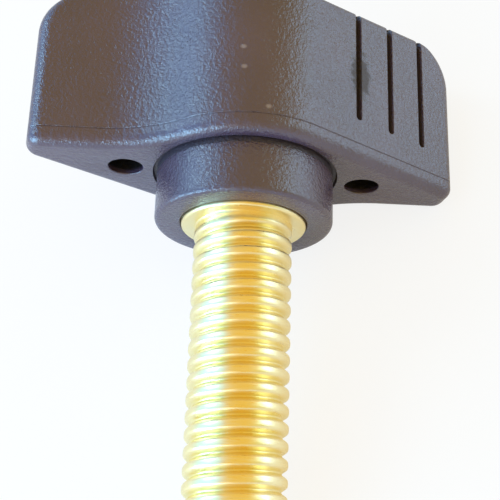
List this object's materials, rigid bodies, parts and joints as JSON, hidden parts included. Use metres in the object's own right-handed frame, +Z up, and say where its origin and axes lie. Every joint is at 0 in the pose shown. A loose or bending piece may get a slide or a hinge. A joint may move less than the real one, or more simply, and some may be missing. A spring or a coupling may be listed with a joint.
{
  "type": "wing screw",
  "caption": "Wing screw: a black moulded S-plan wing head with a round collar on a flanged brass-coloured threaded stud, lying on its side.",
  "frame": {"origin": "centre of the flange's bearing face, on the screw axis", "axes": "+Z up, the screw lies on a level surface 5.8 mm below the origin; the stud points to -Y and 8.6 degrees down, the head lies on the +Y side with its wings along X and the right wing tip down"},
  "size_m": [0.0246, 0.0346, 0.0142],
  "materials": {
    "head_plastic": "moulded black plastic with a fine spark-eroded grain and a soft sheen",
    "stud_brass": "bright rolled thread with a satin flange"
  },
  "bodies": {
    "root": {"wing_head": "head_plastic", "threaded_stud": "stud_brass"}
  },
  "joints": []
}
